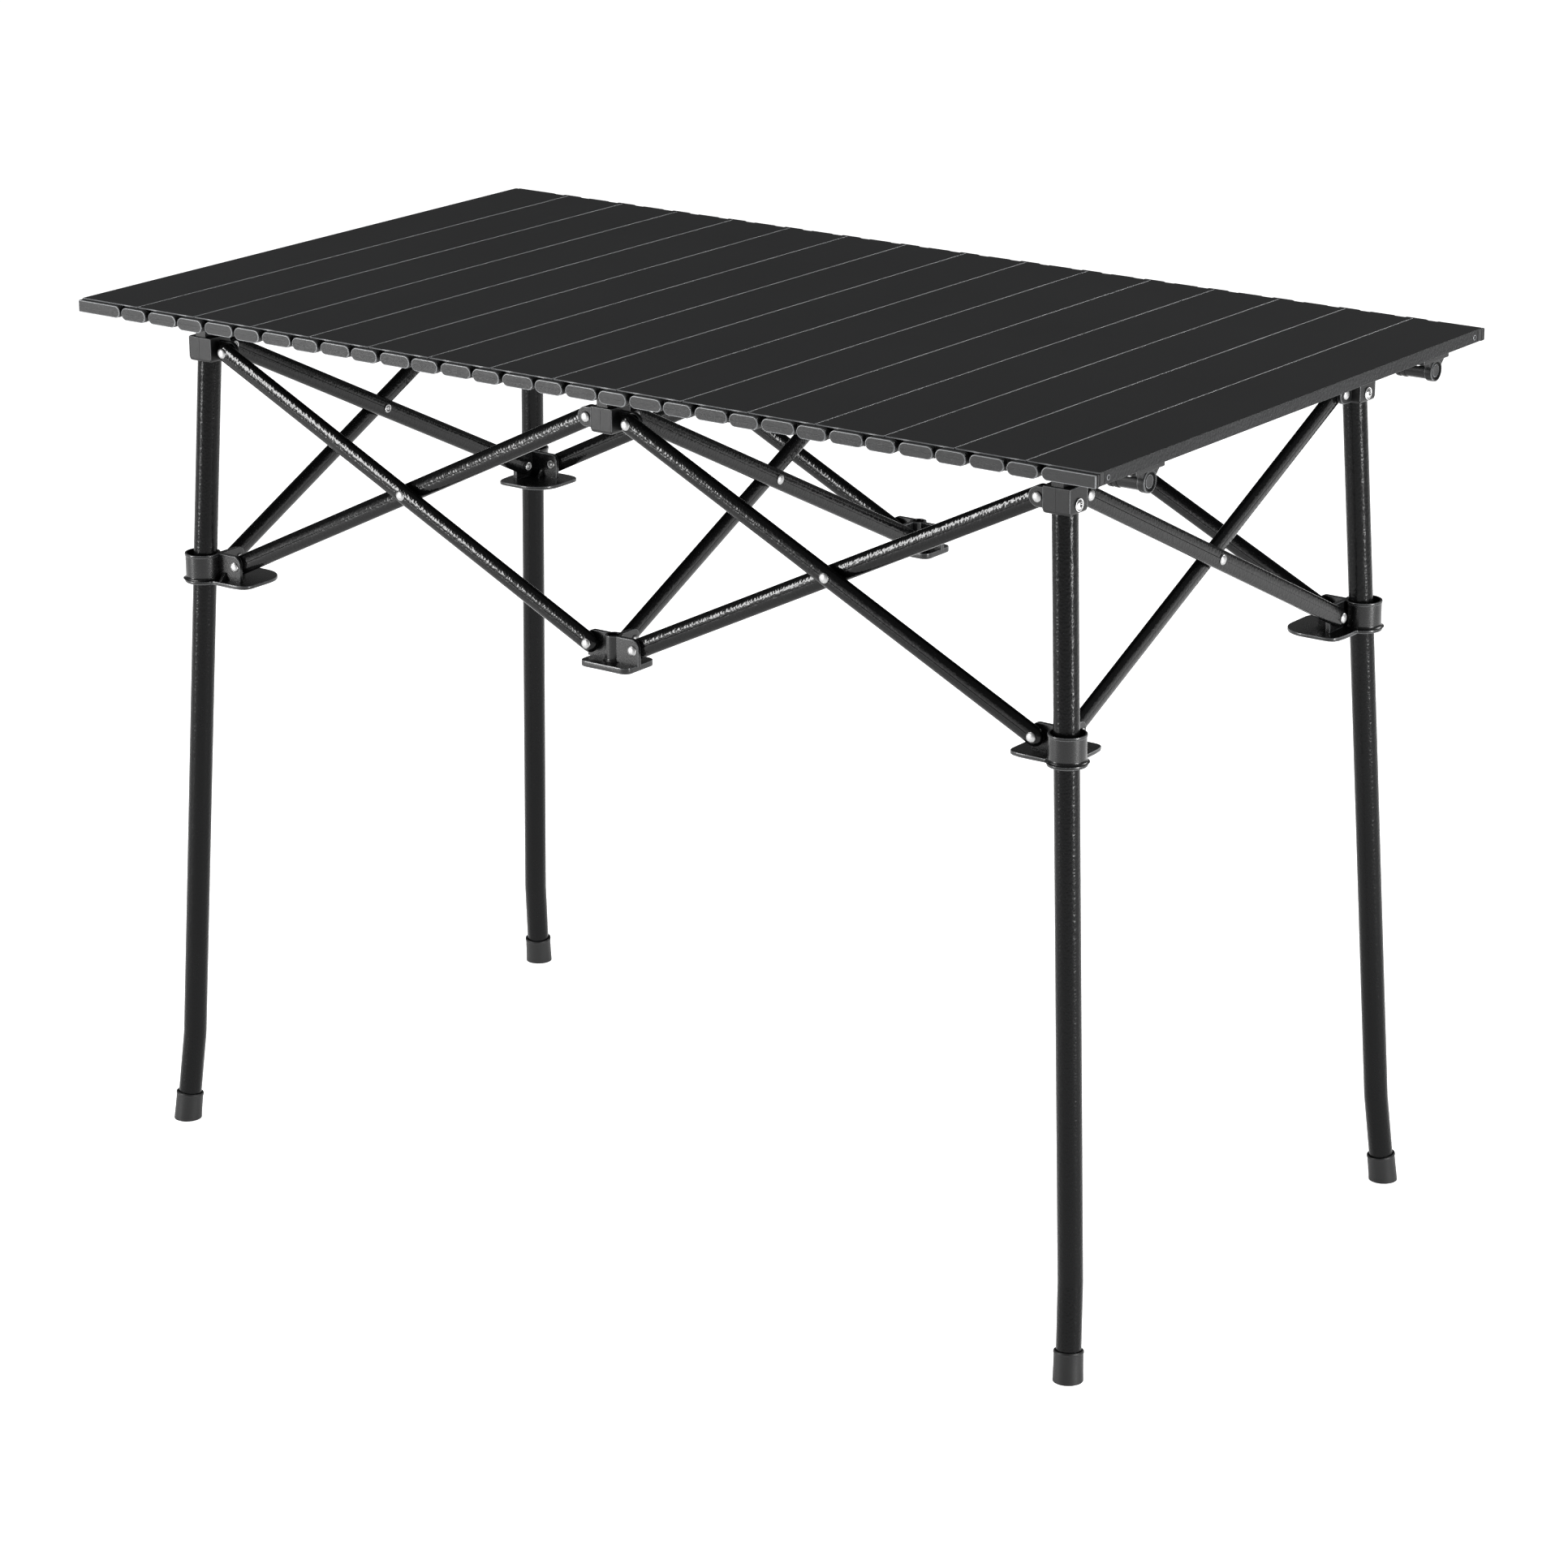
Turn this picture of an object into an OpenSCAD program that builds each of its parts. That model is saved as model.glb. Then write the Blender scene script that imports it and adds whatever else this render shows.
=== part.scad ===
// Folding picnic table: a roll-up slatted top that rests on two rods, over a scissor frame with
// four splayed legs. The origin is on the floor under the middle of the top. X runs along the
// table, Y across it and Z up. Lengths are in millimetres.

/* [Table] */
// Length of the top along X
table_length = 950; // [880:5:1000]
// Depth of the top along Y
table_depth = 550; // [540:5:600]
// Height of the top's upper face above the floor
table_height = 698; // [698:1:704]
// Number of slats
slat_count = 16; // [16]

/* [Slats] */
// Thickness of a slat's top sheet
sheet = 0.9; // [0.7:0.1:1.2]
// Gap between neighbouring slats
slat_gap = 0.8; // [0.5:0.1:1.2]
// Width of the hollow box under a slat
box_width = 27; // [24:0.5:28]
// Height of the hollow box under a slat
box_height = 9.1; // [8.5:0.1:9.5]
// Wall of the hollow sections
box_wall = 0.8; // [0.6:0.1:1.2]
// How far the end caps stand beyond the slat's ends
cap_length = 6; // [4:0.5:8]
// Width of the end cap of a slat
slat_cap_width = 28.8; // [27:0.1:29.5]
// Width of the end cap of a joint rail
rail_cap_width = 25.5; // [23:0.1:26]

/* [Support rods] */
// Diameter of a support rod
rod_diameter = 12.7; // [12:0.1:13.5]
// Height of the rods' axes above the floor
rod_height = 677.5; // [677:0.1:678]
// Distance from the end of a rod to the end of the top
rod_inset = 2; // [1:0.5:4]

/* [Scissor frame] */
// Distance between neighbouring hub axes along X, and between front and back hubs along Y
hub_pitch = 404; // [380:1:410]
// Distance from a hub's axis to its pivots
pivot_offset = 20.5; // [20:0.1:22]
// Height of the upper pivots above the floor
upper_pivot = 654; // [653:0.5:655]
// Height of the lower pivots above the floor, with the frame open
lower_pivot = 478; // [470:0.5:486]
// Width of a flat-oval bar
bar_width = 15.5; // [14:0.1:15.5]
// Thickness of a flat-oval bar
bar_thickness = 8; // [7:0.1:8]
// Wall of a bar
bar_wall = 1; // [0.8:0.1:1.5]
// Thickness of a hub's ear
ear_thickness = 4; // [3:0.1:5]

/* [Legs] */
// Outside diameter of a leg tube
leg_diameter = 19; // [18:0.1:19]
// Wall of a leg tube
leg_wall = 1.2; // [0.9:0.1:1.5]
// How far a leg spreads along X between its screw and its bend
spread_x = 28.5; // [26:0.1:29]
// How far a leg spreads along Y between its screw and its bend
spread_y = 22; // [20:0.1:22.5]
// Height of the bend above the floor
bend_height = 74; // [65:1:90]
// Angle of the bend near the foot
bend_angle = 4.3; // [3:0.1:5]
// Direction of the bend, measured from the leg's own spread direction
bend_azimuth = 43.5; // [30:0.5:60]

/* [Hidden] */
$fn = 48;
fit = 0.05;
layer_gap = 0.2;
pitch = table_length / slat_count;
slat_half = table_depth / 2 - cap_length;
sheet_bottom = table_height - sheet;
box_bottom = sheet_bottom - box_height;
cap_bottom = box_bottom - 0.4;
cap_height = 9.6;
rail_bottom = box_bottom - 0.6;
rail_height = 9.2;
rail_width = 24.9;
rail_cap_height = 10;
rail_cap_bottom = box_bottom - 0.8;
slat_cap_recess = 0.8;
cap_gap = (pitch - rail_cap_width - slat_cap_width) / 2;
end_box_width = pitch - rail_cap_width / 2 - cap_gap - 1;
hub_x = hub_pitch;
hub_y = hub_pitch / 2;
pivot_span = hub_pitch - 2 * pivot_offset;
pivot_drop = upper_pivot - lower_pivot;
bar_length = sqrt(pivot_span * pivot_span + pivot_drop * pivot_drop);
bar_angle = atan2(pivot_drop, pivot_span);
cross_height = (upper_pivot + lower_pivot) / 2;
rivet_radius = 2.5;
rivet_head = 4.1;
rivet_head_height = 2;
rivet_tail = 3.7;
rivet_tail_height = 1.2;
hub_half_depth = 11.5;
hub_bottom = 645;
hub_top = 665;
mid_hub_half_width = 10;
ear_radius = 7.7;
saddle_top = rod_height - 3.5;
saddle_half_width = 5;
saddle_half_depth = 10;
saddle_clearance = 0.3;
screw_height = 652;
screw_radius = 2;
leg_radius = leg_diameter / 2;
leg_top = 8;
leg_socket = leg_radius + 0.75;
socket_top = 661.5;
leg_rise = screw_height - bend_height;
leg_spread = sqrt(spread_x * spread_x + spread_y * spread_y);
leg_azimuth = atan2(spread_y, spread_x);
leg_tilt = atan2(leg_spread, leg_rise);
leg_length = sqrt(leg_rise * leg_rise + leg_spread * leg_spread);
foot_length = 74.6;
leg_step = 0.15;
foot_cap_height = 23;
foot_cap_radius = 11.2;
foot_cap_wall = 1.6;
foot_floor = 4;
collar_shift = 12.7;
collar_x = hub_x + collar_shift * cos(leg_azimuth);
collar_y = hub_y + collar_shift * sin(leg_azimuth);
collar_bore = 12.6;
collar_radius = 14;
flange_bottom = 463;
flange_top = 466;
collar_top = 487;
flange_reach = 39.5;
flange_back = 13;
lower_ear_reach = 5.5;
lower_ear_corner = 6;
mid_base_bottom = 461.5;
mid_base_half = 23.5;
mid_base_outer = 14.5;
mid_base_inner = 21.5;
boss_radius = 7;
boss_bore = 4.5;
bracket_top = box_bottom;
bracket_plate = 3;
bracket_half_depth = 20;
bracket_start = 436;
bracket_end = 474;
bracket_screw_x = [444, 466];
bracket_screw_y = 15;
rod_end = table_length / 2 - rod_inset;

SLATS = [for (i = [1 : slat_count]) str("slat_", i < 10 ? "0" : "", i)];

// ---- helpers ----

// A stadium outline, w wide and h tall, centred on the origin
module stadium(w, h) {
    square([w - h, h], center = true);
    for (s = [-1, 1]) translate([s * (w - h) / 2, 0]) circle(d = h);
}

// A rectangle from (x0, y0) to (x1, y1) with corners rounded to r
module rounded_rect(x0, y0, x1, y1, r) {
    translate([x0 + r, y0]) square([x1 - x0 - 2 * r, y1 - y0]);
    translate([x0, y0 + r]) square([x1 - x0, y1 - y0 - 2 * r]);
    for (x = [x0 + r, x1 - r], y = [y0 + r, y1 - r]) translate([x, y]) circle(r = r);
}

// Extrudes an outline in the XZ plane along Y, from y0 to y1
module along_y(y0, y1) {
    translate([0, y1, 0]) rotate([90, 0, 0]) linear_extrude(y1 - y0) children();
}

// ---- the roll-up top ----

// A slat is one extrusion: a top sheet with a closed box under it
module slat_extrusion(x0, x1, b0, b1) {
    along_y(-slat_half, slat_half) difference() {
        union() {
            translate([x0, sheet_bottom]) square([x1 - x0, sheet]);
            translate([b0, box_bottom]) square([b1 - b0, box_height + sheet / 2]);
        }
        translate([b0 + box_wall, box_bottom + box_wall])
            square([b1 - b0 - 2 * box_wall, box_height - box_wall]);
    }
}

// A plastic cap of an inner slat, with its plug inside the box
module slat_cap(xc) {
    y0 = slat_half + fit;
    y1 = table_depth / 2 - slat_cap_recess;
    along_y(y0, y1) translate([xc, cap_bottom + cap_height / 2]) stadium(slat_cap_width, cap_height);
    translate([xc - 11, y0 - 12, box_bottom + 1.2]) cube([22, 12.5, 6.6]);
}

// A plastic cap of an end slat: round towards the rail, square at the outside
module end_cap() {
    y0 = slat_half + fit;
    y1 = table_depth / 2 - slat_cap_recess;
    x0 = table_length / 2 - end_box_width - 1;
    r = cap_height / 2;
    along_y(y0, y1) translate([0, cap_bottom]) {
        translate([x0 + r, 0]) square([table_length / 2 - x0 - r, cap_height]);
        translate([x0 + r, r]) circle(r = r);
    }
    translate([x0 + 6, y0 - 12, box_bottom + 1.2]) cube([30, 12.5, 6.6]);
}

// The hollow rail under a joint, with a cap at each end
module joint_rail(xc) {
    along_y(-slat_half, slat_half) translate([xc, rail_bottom + rail_height / 2]) difference() {
        stadium(rail_width, rail_height);
        stadium(rail_width - 2 * box_wall, rail_height - 2 * box_wall);
    }
    for (m = [0, 1]) mirror([0, m, 0]) {
        along_y(slat_half + fit, table_depth / 2)
            translate([xc, rail_cap_bottom + rail_cap_height / 2]) stadium(rail_cap_width, rail_cap_height);
        translate([xc - 9, slat_half - 12, rail_bottom + 1.3]) cube([18, 12.5, 6.6]);
    }
}

// Slat i, counted from 1 at the left end. It carries the joint rail on its left.
module slat(i) {
    left = -table_length / 2 + (i - 1) * pitch;
    right = left + pitch;
    x0 = i == 1 ? left : left + slat_gap / 2;
    x1 = i == slat_count ? right : right - slat_gap / 2;
    xc = (left + right) / 2;
    b0 = i == 1 ? left : i == slat_count ? right - end_box_width : xc - box_width / 2;
    b1 = i == 1 ? left + end_box_width : i == slat_count ? right : xc + box_width / 2;
    color([0.15, 0.155, 0.16]) slat_extrusion(x0, x1, b0, b1);
    color([0.26, 0.265, 0.27]) for (m = [0, 1]) mirror([0, m, 0]) {
        if (i == slat_count) end_cap();
        if (i == 1) mirror([1, 0, 0]) end_cap();
        if (i > 1 && i < slat_count) slat_cap(xc);
    }
    color([0.26, 0.265, 0.27]) if (i > 1) joint_rail(left);
}

// ---- support rods and their holders ----

module support_rod(side) {
    color([0.13, 0.13, 0.14]) translate([-rod_end, side * hub_y, rod_height]) rotate([0, 90, 0])
        difference() {
            cylinder(d = rod_diameter, h = 2 * rod_end);
            translate([0, 0, -1]) cylinder(r = rod_diameter / 2 - 1, h = 2 * rod_end + 2);
        }
}

// Plastic plugs in the open ends of both rods
module rod_end_plugs() {
    plug = 10;
    color([0.3, 0.3, 0.31]) for (side = [-1, 1], end = [-1, 1])
        translate([end * (rod_end - plug / 2), side * hub_y, rod_height]) rotate([0, 90, 0])
            cylinder(r = rod_diameter / 2 - 1 - fit, h = plug, center = true);
}

// A plate under the right end slat with a sleeve and a ring that hold the rod
module ring_bracket() {
    sleeve = 7.25;
    ferrule = 7.9;
    ring = 8.4;
    bore = rod_diameter / 2 + fit;
    difference() {
        union() {
            translate([bracket_start, -bracket_half_depth, bracket_top - bracket_plate])
                cube([bracket_end - bracket_start, 2 * bracket_half_depth, bracket_plate]);
            translate([bracket_start + 6, 0, rod_height]) rotate([0, 90, 0]) {
                cylinder(r = sleeve, h = rod_end - bracket_start - 6);
                cylinder(r = ferrule, h = 3);
                translate([0, 0, 5]) cylinder(r = ferrule, h = 3);
                translate([0, 0, rod_end - bracket_start - 11]) cylinder(r = ring, h = 6);
            }
            translate([rod_end - 5, -ring, rod_height]) cube([6, 2 * ring, bracket_top - rod_height - 1]);
            translate([bracket_start + 6, -3, rod_height]) cube([30, 6, bracket_top - rod_height - 1]);
        }
        translate([bracket_start - 5, 0, rod_height]) rotate([0, 90, 0]) cylinder(r = bore, h = 60);
        for (x = bracket_screw_x, s = [-1, 1]) translate([x, s * bracket_screw_y, bracket_top - 10]) cylinder(r = 1.6, h = 20);
    }
}

module rod_ring_brackets() {
    color([0.12, 0.12, 0.125]) for (side = [-1, 1]) translate([0, side * hub_y, 0]) ring_bracket();
}

// Four pan-head screws hold each ring bracket to the end slat
module bracket_screws() {
    color([0.7, 0.7, 0.72]) for (side = [-1, 1], x = bracket_screw_x, s = [-1, 1])
        translate([x, side * hub_y + s * bracket_screw_y, bracket_top - bracket_plate]) {
            translate([0, 0, -1.8 - fit]) cylinder(r = 2.8, h = 1.8);
            translate([0, 0, -fit - 0.2]) cylinder(r = 1.5, h = bracket_plate);
        }
}

// Clips under the left end slat, open at the bottom so that the slat lifts off the rods
module rod_clips() {
    half = 9;
    mouth = rod_diameter / 2 + 0.35;
    color([0.12, 0.12, 0.125]) for (side = [-1, 1]) translate([0, side * hub_y, 0]) difference() {
        union() {
            translate([-bracket_end, -bracket_half_depth, bracket_top - bracket_plate])
                cube([bracket_end - bracket_start, 2 * bracket_half_depth, bracket_plate]);
            translate([-bracket_end + 2, -half, rod_height - 5])
                cube([26, 2 * half, bracket_top - rod_height + 4]);
        }
        translate([-bracket_end - 5, -mouth, rod_height - 20]) cube([60, 2 * mouth, 20]);
        translate([-bracket_end - 5, 0, rod_height]) rotate([0, 90, 0]) cylinder(r = mouth, h = 60);
    }
}

// ---- scissor frame: hubs ----

// An upper hub's ear, pointing along +X with the pivot at pivot_offset, on the left side of its arm
module upper_ear() {
    translate([0, layer_gap + ear_thickness, 0]) rotate([90, 0, 0]) linear_extrude(ear_thickness) {
        translate([8, upper_pivot - ear_radius]) square([pivot_offset - 8, 2 * ear_radius]);
        translate([pivot_offset, upper_pivot]) circle(r = ear_radius);
    }
}

module upper_ear_hole() {
    translate([pivot_offset, 0, upper_pivot]) rotate([90, 0, 0])
        cylinder(r = rivet_radius + fit, h = 20, center = true);
}

// The cradle on top of a hub that the rod rests in
module saddle() {
    difference() {
        translate([-saddle_half_width, -saddle_half_depth, hub_top - 1])
            cube([2 * saddle_half_width, 2 * saddle_half_depth, saddle_top - hub_top + 1]);
        translate([-20, 0, rod_height]) rotate([0, 90, 0])
            cylinder(r = rod_diameter / 2 + saddle_clearance, h = 40);
    }
}

// An upper hub with ears along the given directions (degrees from +X)
module upper_hub(half_width, arms, leg) {
    difference() {
        union() {
            translate([-half_width, -hub_half_depth, hub_bottom])
                cube([2 * half_width, 2 * hub_half_depth, hub_top - hub_bottom]);
            saddle();
            for (a = arms) rotate([0, 0, a]) upper_ear();
        }
        for (a = arms) rotate([0, 0, a]) upper_ear_hole();
        if (leg) {
            translate([0, 0, hub_bottom - 1]) cylinder(r = leg_socket, h = socket_top - hub_bottom + 1);
            translate([0, 0, screw_height]) rotate([0, 90, 0])
                cylinder(r = screw_radius + fit, h = 60, center = true);
        }
    }
}

// Arms of a corner hub that stands at the signs (sx, sy): one towards the middle, one across
function corner_arms(sx, sy) = [sx > 0 ? 180 : 0, sy > 0 ? 270 : 90];

module corner_hub(sx, sy) {
    color([0.16, 0.16, 0.165]) translate([sx * hub_x, sy * hub_y, 0])
        upper_hub(hub_half_depth, corner_arms(sx, sy), true);
}

module mid_hub(sy) {
    color([0.16, 0.16, 0.165]) translate([0, sy * hub_y, 0])
        upper_hub(mid_hub_half_width, [0, 180, sy > 0 ? 270 : 90], false);
}

// A lower ear along +X on the right side of its arm, from x0 to past the pivot, standing on z0
module lower_ear(x0, z0) {
    x1 = pivot_offset + lower_ear_reach;
    r = lower_ear_corner;
    translate([0, -layer_gap, 0]) rotate([90, 0, 0]) linear_extrude(ear_thickness) {
        translate([x0, z0]) square([x1 - x0, collar_top - r - z0]);
        translate([x0, z0]) square([x1 - r - x0, collar_top - z0]);
        translate([x1 - r, collar_top - r]) circle(r = r);
    }
}

module lower_ear_hole() {
    translate([pivot_offset, 0, lower_pivot]) rotate([90, 0, 0])
        cylinder(r = rivet_radius + fit, h = 20, center = true);
}

// A collar that slides on the leg at the signs (sx, sy)
module collar(sx, sy) {
    dx = sx * (collar_x - hub_x);
    dy = sy * (collar_y - hub_y);
    arms = corner_arms(sx, sy);
    color([0.1, 0.1, 0.105]) translate([sx * hub_x, sy * hub_y, 0]) difference() {
        union() {
            translate([dx, dy, flange_bottom]) cylinder(r = collar_radius, h = collar_top - flange_bottom);
            translate([dx, dy, flange_bottom]) linear_extrude(flange_top - flange_bottom)
                mirror([sx > 0 ? 1 : 0, 0, 0]) mirror([0, sy > 0 ? 1 : 0, 0]) flange_outline();
            for (a = arms) rotate([0, 0, a]) lower_ear(-4, flange_top - 1);
        }
        translate([dx, dy, flange_bottom - 1]) cylinder(r = collar_bore, h = collar_top - flange_bottom + 2);
        for (a = arms) rotate([0, 0, a]) lower_ear_hole();
    }
}

// The collar's flange, with its arms along +X and +Y and a wide rounded corner between them
module flange_outline() {
    r = 9;
    big = 22;
    circle(r = collar_radius + 1);
    translate([-flange_back + r, -flange_back]) square([flange_reach + flange_back - 2 * r, 30]);
    translate([-flange_back, -flange_back + r]) square([30, flange_reach + flange_back - 2 * r]);
    translate([-flange_back + 2, -flange_back + r])
        square([flange_reach + flange_back - 2, flange_reach + flange_back - r - big]);
    translate([-flange_back + r, -flange_back + 2])
        square([flange_reach + flange_back - r - big, flange_reach + flange_back - 2]);
    for (p = [[-flange_back + r, -flange_back + r], [flange_reach - r, -flange_back + r],
              [-flange_back + r, flange_reach - r]]) translate(p) circle(r = r);
    translate([flange_reach - big, flange_reach - big]) circle(r = big);
}

// A lower middle hub: a base plate, a short tube and three ears
module lower_mid_hub(sy) {
    inward = sy > 0 ? 270 : 90;
    color([0.1, 0.1, 0.105]) translate([0, sy * hub_y, 0]) difference() {
        union() {
            translate([0, 0, mid_base_bottom]) linear_extrude(flange_top - mid_base_bottom)
                mirror([0, sy > 0 ? 1 : 0, 0])
                    rounded_rect(-mid_base_half, -mid_base_outer, mid_base_half, mid_base_inner, 6);
            translate([0, 0, flange_top - 1]) cylinder(r = boss_radius, h = collar_top - flange_top + 1);
            for (a = [0, 180, inward]) rotate([0, 0, a]) lower_ear(0, flange_top - 1);
        }
        translate([0, 0, mid_base_bottom - 1]) cylinder(r = boss_bore, h = collar_top - mid_base_bottom + 2);
        translate([0, 0, lower_pivot + 1]) rotate([90, 0, -sy * 90 - 90]) cylinder(r = 1.2, h = 12);
        for (a = [0, 180, inward]) rotate([0, 0, a]) lower_ear_hole();
    }
}

// ---- scissor frame: bars and their rivets ----

// A flat-oval tube with closed round ends, its pivots at x = 0 and x = bar_length, 0 <= y <= thickness
module bar_tube() {
    end = bar_width / 2;
    void = 14;
    difference() {
        intersection() {
            translate([-end, bar_thickness / 2, 0]) rotate([90, 0, 90]) linear_extrude(bar_length + 2 * end)
                rotate([0, 0, 90]) stadium(bar_width, bar_thickness);
            along_y(0, bar_thickness) translate([bar_length / 2, 0])
                stadium(bar_length + bar_width, bar_width);
        }
        for (m = [0, 1]) translate([m * bar_length / 2, bar_thickness / 2, 0])
            translate([void, 0, 0]) rotate([90, 0, 90])
                linear_extrude(bar_length / 2 - 2 * void) rotate([0, 0, 90])
                    stadium(bar_width - 2 * bar_wall, bar_thickness - 2 * bar_wall);
        for (x = [0, bar_length / 2, bar_length]) translate([x, -1, 0]) rotate([-90, 0, 0])
            cylinder(r = rivet_radius + fit, h = bar_thickness + 2);
    }
}

// A rivet along Y: its head outside y = outer, its tail inside y = inner
module rivet(outer, inner) {
    translate([0, inner - rivet_tail_height - fit, 0]) rotate([-90, 0, 0]) {
        cylinder(r = rivet_radius, h = outer - inner + rivet_tail_height + 2 * fit + 0.5);
        difference() {
            cylinder(r = rivet_tail, h = rivet_tail_height);
            translate([0, 0, -1]) cylinder(r = 1.5, h = 1.6);
        }
    }
    translate([0, outer + fit, 0]) rotate([-90, 0, 0]) {
        cylinder(r = rivet_head, h = 0.8);
        cylinder(r1 = rivet_head, r2 = rivet_head - 1.3, h = rivet_head_height);
    }
}

// A bar with its rivets. It lies on +Y of its scissor's plane. Rivet heads face outwards from the
// table: on the bar for an outer bar, on the ears for an inner one. Outer bars hold the cross rivet.
module riveted_bar(outer) {
    lift = layer_gap;
    bar_side = lift + bar_thickness;
    ear_side = layer_gap + ear_thickness;
    color([0.11, 0.11, 0.115]) translate([0, lift, 0]) bar_tube();
    color([0.85, 0.85, 0.86]) {
        for (x = [0, bar_length]) translate([x, 0, 0])
            if (outer) rivet(bar_side, -ear_side);
            else mirror([0, 1, 0]) rivet(ear_side, -bar_side);
        if (outer) translate([bar_length / 2, 0, 0]) rivet(bar_side, -bar_side);
    }
}

// Places a bar from the upper pivot of the hub at (x, y), towards direction a
module place_bar(x, y, a, outer) {
    translate([x, y, 0]) rotate([0, 0, a]) translate([pivot_offset, 0, upper_pivot])
        rotate([0, bar_angle, 0]) mirror([0, 1, 0]) riveted_bar(outer);
}

// ---- legs ----

// Moves from a leg's own frame, screw at the origin and -Z down the tube, to the table's
module leg_place(sx, sy) {
    scale_x = sx < 0 ? 1 : 0;
    scale_y = sy < 0 ? 1 : 0;
    mirror([scale_x, 0, 0]) mirror([0, scale_y, 0]) translate([hub_x, hub_y, screw_height])
        rotate([0, 0, leg_azimuth]) rotate([0, -leg_tilt, 0]) children();
}

// Moves to the frame of the lower tube: origin at the bend, -Z towards the foot
module foot_place() {
    translate([0, 0, -leg_length]) rotate([0, 0, bend_azimuth]) rotate([0, -bend_angle, 0]) children();
}

// A rod of radius r with its lower length, a little thinner, turned outwards at the bend
module leg_solid(r) {
    lap = 1;
    rotate([0, 0, bend_azimuth]) translate([0, 0, -leg_length]) {
        translate([0, 0, -lap]) cylinder(r = r, h = leg_length + leg_top + lap);
        rotate([0, -bend_angle, 0]) translate([0, 0, -foot_length])
            cylinder(r = r - leg_step, h = foot_length + lap);
    }
}

module leg(sx, sy) {
    color([0.17, 0.175, 0.18]) leg_place(sx, sy) difference() {
        leg_solid(leg_radius);
        leg_solid(leg_radius - leg_wall);
        rotate([0, 0, -leg_azimuth]) rotate([0, 90, 0]) cylinder(r = screw_radius + 0.8, h = 40);
        foot_place() translate([0, 0, -foot_length - 20]) cylinder(r = 30, h = 20 + foot_floor + 2);
        translate([0, 0, leg_top]) cylinder(r = 30, h = 20);
    }
}

// A rubber cap, cut level with the floor
module foot(sx, sy) {
    color([0.05, 0.05, 0.055]) intersection() {
        leg_place(sx, sy) foot_place() difference() {
            translate([0, 0, -foot_length - 6]) union() {
                cylinder(r1 = foot_cap_radius, r2 = leg_radius + foot_cap_wall, h = foot_cap_height + 6);
                translate([0, 0, foot_cap_height + 4]) cylinder(r = leg_radius + foot_cap_wall + 0.4, h = 2);
            }
            translate([0, 0, -foot_length + foot_floor + 1.9])
                cylinder(r = leg_radius - leg_step + fit, h = foot_cap_height);
        }
        translate([sx * 400 - 200, sy * 200 - 200, 0]) cube([400, 400, 100]);
    }
}

// The screw and washer that hold a leg in its hub
module leg_screw(sx, sy) {
    color([0.8, 0.8, 0.82]) translate([sx * hub_x, sy * hub_y, screw_height]) mirror([sx < 0 ? 1 : 0, 0, 0])
        difference() {
            rotate([0, 90, 0]) {
                translate([0, 0, hub_half_depth + fit]) cylinder(r = 4.9, h = 0.9);
                translate([0, 0, hub_half_depth + 0.5]) cylinder(r = 3.7, h = 2.2);
                translate([0, 0, 5]) cylinder(r = screw_radius, h = hub_half_depth - 3);
            }
            for (s = [0, 90]) rotate([s, 0, 0]) translate([hub_half_depth + 1.7, -2.2, -0.45])
                cube([2, 4.4, 0.9]);
        }
}

for (i = [1 : slat_count]) slat(i);
support_rod(-1);  // support_rod_front
support_rod(1);  // support_rod_back
rod_end_plugs();
rod_ring_brackets();
bracket_screws();
rod_clips();
corner_hub(-1, -1);  // upper_hub_front_left
mid_hub(-1);  // upper_hub_front_mid
corner_hub(1, -1);  // upper_hub_front_right
corner_hub(-1, 1);  // upper_hub_back_left
mid_hub(1);  // upper_hub_back_mid
corner_hub(1, 1);  // upper_hub_back_right
collar(-1, -1);  // collar_front_left
collar(1, -1);  // collar_front_right
collar(-1, 1);  // collar_back_left
collar(1, 1);  // collar_back_right
lower_mid_hub(-1);  // lower_hub_front_mid
lower_mid_hub(1);  // lower_hub_back_mid
leg(-1, -1);  // leg_front_left
leg(1, -1);  // leg_front_right
leg(-1, 1);  // leg_back_left
leg(1, 1);  // leg_back_right
foot(-1, -1);  // foot_front_left
foot(1, -1);  // foot_front_right
foot(-1, 1);  // foot_back_left
foot(1, 1);  // foot_back_right
leg_screw(-1, -1);  // leg_screw_front_left
leg_screw(1, -1);  // leg_screw_front_right
leg_screw(-1, 1);  // leg_screw_back_left
leg_screw(1, 1);  // leg_screw_back_right
place_bar(-hub_x, -hub_y, 0, true);  // bar_front_left_outer
place_bar(0, -hub_y, 180, false);  // bar_front_left_inner
place_bar(0, -hub_y, 0, true);  // bar_front_right_outer
place_bar(hub_x, -hub_y, 180, false);  // bar_front_right_inner
place_bar(0, hub_y, 180, true);  // bar_back_left_outer
place_bar(-hub_x, hub_y, 0, false);  // bar_back_left_inner
place_bar(hub_x, hub_y, 180, true);  // bar_back_right_outer
place_bar(0, hub_y, 0, false);  // bar_back_right_inner
place_bar(-hub_x, hub_y, 270, true);  // bar_left_outer
place_bar(-hub_x, -hub_y, 90, false);  // bar_left_inner
place_bar(0, -hub_y, 90, true);  // bar_mid_outer
place_bar(0, hub_y, 270, false);  // bar_mid_inner
place_bar(hub_x, -hub_y, 90, true);  // bar_right_outer
place_bar(hub_x, hub_y, 270, false);  // bar_right_inner
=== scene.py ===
import math

import bmesh
import bpy
from mathutils import Matrix, Vector


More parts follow.
